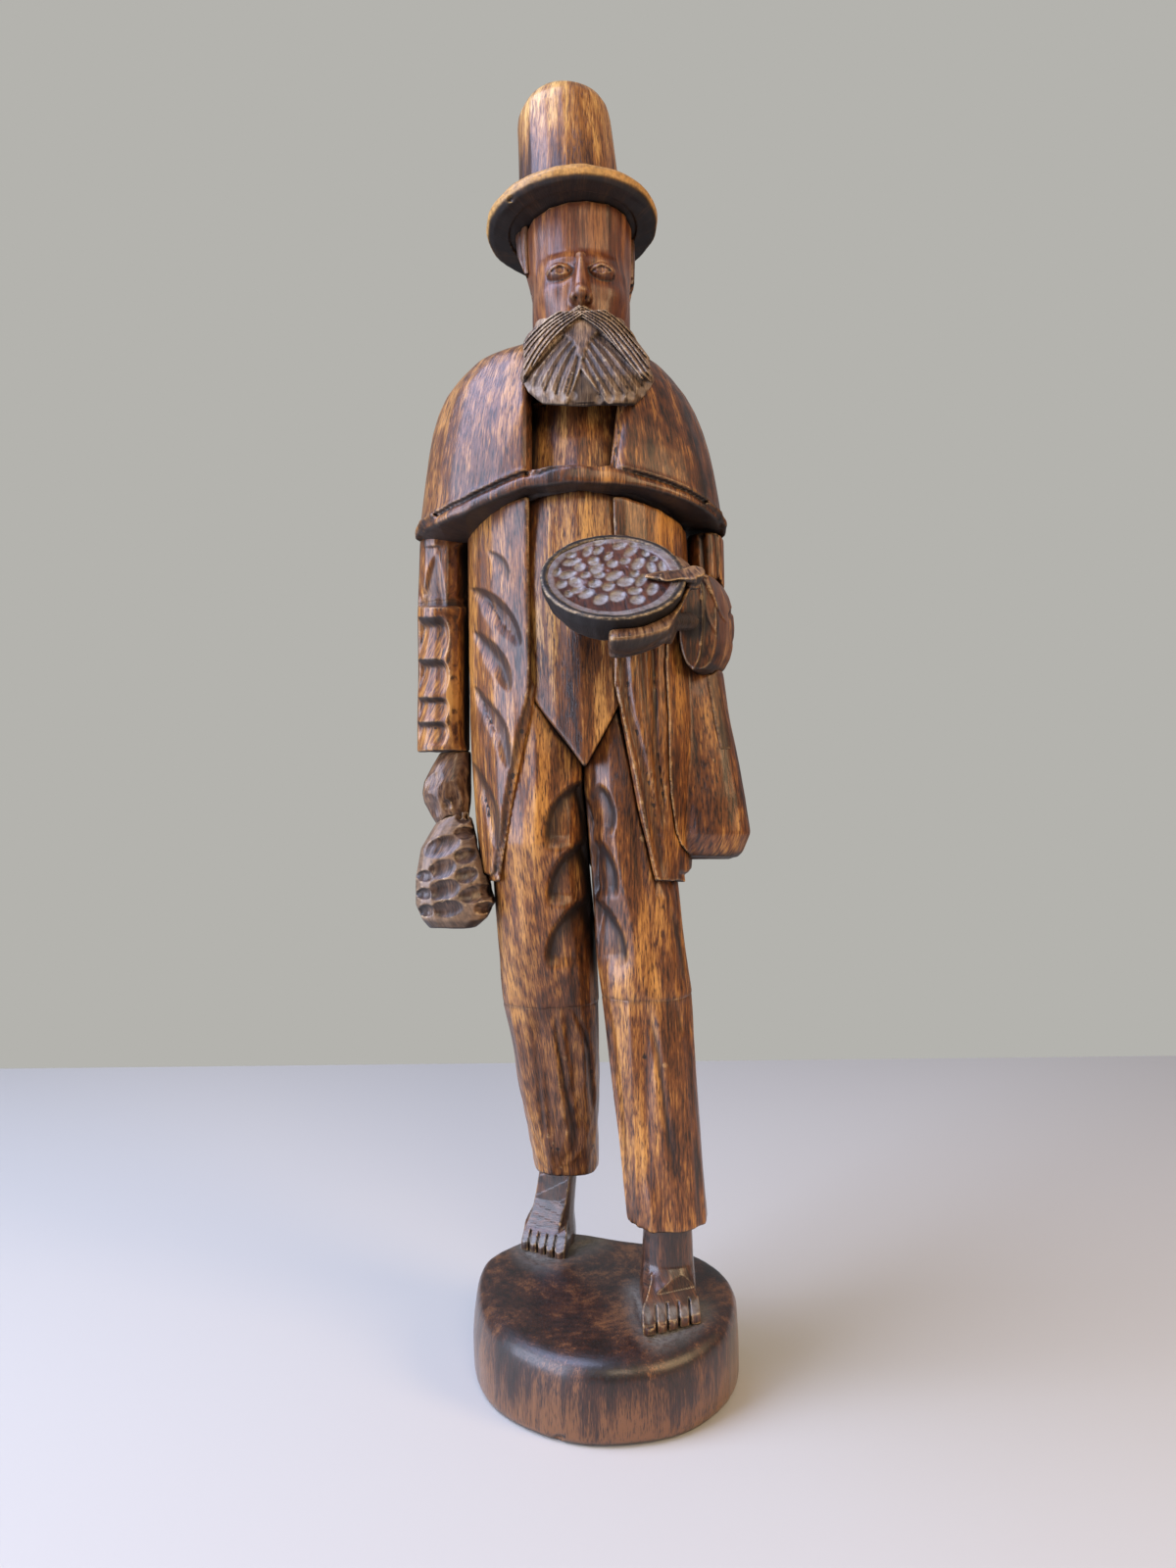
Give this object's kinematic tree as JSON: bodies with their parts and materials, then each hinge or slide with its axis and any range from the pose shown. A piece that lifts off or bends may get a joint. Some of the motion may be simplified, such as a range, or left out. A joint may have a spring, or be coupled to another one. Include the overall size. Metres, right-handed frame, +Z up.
{
  "type": "carved wooden peddler figure",
  "caption": "Hardwood folk carving of a bearded man in hat, cape and long coat, holding out a bowl, with a bundle and a satchel, on a round log base.",
  "frame": {"origin": "middle of the base's underside, on the surface that the figure stands on", "axes": "+Z up, the figure faces -Y, its right side is at -X"},
  "size_m": [0.1538, 0.159, 0.6097],
  "materials": {
    "base_wood": "dark red-brown stain, satin varnish, worn and dusty on top",
    "foot_wood": "dark stain, satin varnish",
    "trouser_wood": "amber-brown stain with dark grain streaks, satin varnish",
    "vest_wood": "amber-brown stain with dark grain streaks, satin varnish",
    "coat_wood": "brown stain, lighter on worn ridges, satin varnish",
    "face_wood": "red-brown stain, satin varnish",
    "hair_wood": "dark stain, satin varnish",
    "cape_wood": "smooth dark brown stain, satin varnish",
    "beard_wood": "grey-brown, drier and less varnished",
    "hat_wood": "honey brown, darker towards the base and under the brim",
    "hand_wood": "brown stain, worn light on the knuckles",
    "bundle_wood": "dark stain with worn light gouge ridges",
    "satchel_wood": "amber-brown stain, satin varnish",
    "bowl_wood": "very dark stain, worn light on the rim",
    "bowl_filling_wood": "dark red-brown stain with grey dust in the cuts"
  },
  "bodies": {
    "root": {"base_block": "base_wood", "right_foot": "foot_wood", "left_foot": "foot_wood", "right_shin": "trouser_wood", "left_shin": "trouser_wood", "right_thigh": "trouser_wood", "left_thigh": "trouser_wood", "vest": "vest_wood", "coat_back": "coat_wood", "coat_right_panel": "coat_wood", "coat_left_panel": "coat_wood", "head": "face_wood", "hair": "hair_wood", "shoulder_cape": "cape_wood", "cape_band": "cape_wood", "beard": "beard_wood", "moustache": "beard_wood", "hat_brim": "hat_wood", "hat_crown": "hat_wood", "right_upper_sleeve": "coat_wood", "right_lower_sleeve": "coat_wood", "right_hand": "hand_wood", "bundle": "bundle_wood", "left_upper_sleeve": "coat_wood", "left_lower_sleeve": "coat_wood", "satchel": "satchel_wood", "satchel_strap": "satchel_wood", "bowl": "bowl_wood", "bowl_contents": "bowl_filling_wood", "left_hand": "hand_wood"}
  },
  "joints": []
}
